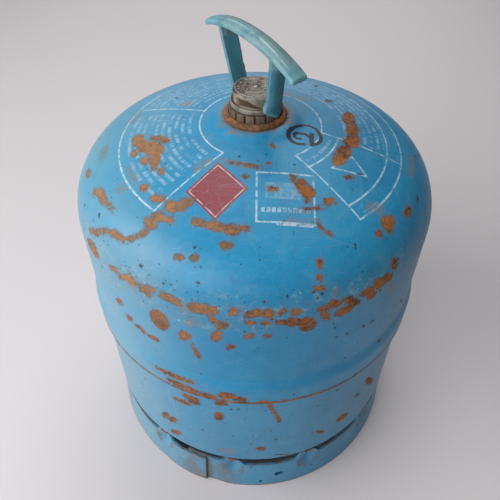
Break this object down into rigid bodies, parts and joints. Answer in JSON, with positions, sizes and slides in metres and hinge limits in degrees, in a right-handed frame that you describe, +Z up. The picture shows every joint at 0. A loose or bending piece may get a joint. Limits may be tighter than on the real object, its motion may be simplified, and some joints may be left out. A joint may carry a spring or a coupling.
{
  "type": "refillable gas cylinder",
  "caption": "Squat blue steel gas cylinder with a welded waist seam, lapped foot ring, notched neck, ball valve and a screwed plug with a folding carry handle, rusty and worn.",
  "frame": {"origin": "on the cylinder's axis, on the floor under the foot ring", "axes": "+Z up along the cylinder's axis; the picture looks along +Y with +X to its right"},
  "size_m": [0.2072, 0.2072, 0.2823],
  "materials": {
    "blue_paint": "worn semi-gloss sky blue paint, rusted through in patches",
    "rusty_weld": "rusty weld bead with traces of paint",
    "rusty_steel": "dull steel, stained with rust and grime",
    "brass": "machined",
    "rubber": "matt",
    "bright_steel": "polished",
    "cast_zinc": "dull die-cast zinc, dirty and stained",
    "teal_plastic": "moulded teal plastic, scuffed and faded"
  },
  "bodies": {
    "cylinder": {"upper_shell": "blue_paint", "lower_shell": "blue_paint", "seam_weld": "rusty_weld", "foot_ring": "blue_paint", "foot_ring_weld_1": "rusty_weld", "foot_ring_weld_2": "rusty_weld", "foot_ring_weld_3": "rusty_weld", "foot_ring_weld_4": "rusty_weld", "foot_ring_weld_5": "rusty_weld", "foot_ring_weld_6": "rusty_weld", "foot_ring_weld_7": "rusty_weld", "foot_ring_weld_8": "rusty_weld", "foot_ring_weld_9": "rusty_weld", "foot_ring_weld_10": "rusty_weld", "foot_ring_weld_11": "rusty_weld", "foot_ring_weld_12": "rusty_weld", "neck_boss": "rusty_steel", "neck_weld": "rusty_weld", "valve_body": "brass", "valve_seat": "rubber", "valve_spring": "bright_steel", "spring_retainer": "brass"},
    "ball": {"valve_ball": "bright_steel"},
    "seal": {"plug_seal": "rubber"},
    "plug": {"transport_plug": "cast_zinc"},
    "handle": {"carry_handle": "teal_plastic"}
  },
  "joints": [
    {"name": "plug_lift", "type": "slide", "parent": "cylinder", "child": "seal", "axis": [0, 0, 1], "range_m": [0, 0.0075]},
    {"name": "plug_turn", "type": "hinge", "parent": "seal", "child": "plug", "pos_m": [0, 0, 0.24144], "axis": [0, 0, 1], "range_deg": [0, 1801]},
    {"name": "handle_tilt", "type": "hinge", "parent": "plug", "child": "handle", "pos_m": [0, 0, 0.24674], "axis": [0.5592, -0.829, 0], "range_deg": [-109.9, 98.1]},
    {"name": "valve_press", "type": "slide", "parent": "cylinder", "child": "ball", "axis": [0, 0, 1], "range_m": [-0.0015, 0], "stiffness_N_per_m": 300, "springref_m": 0.0001, "deforming": ["valve_spring"]}
  ],
  "couplings": [
    {"joint": "plug_turn", "follows": "plug_lift", "rad_per_m": 4188.8}
  ]
}
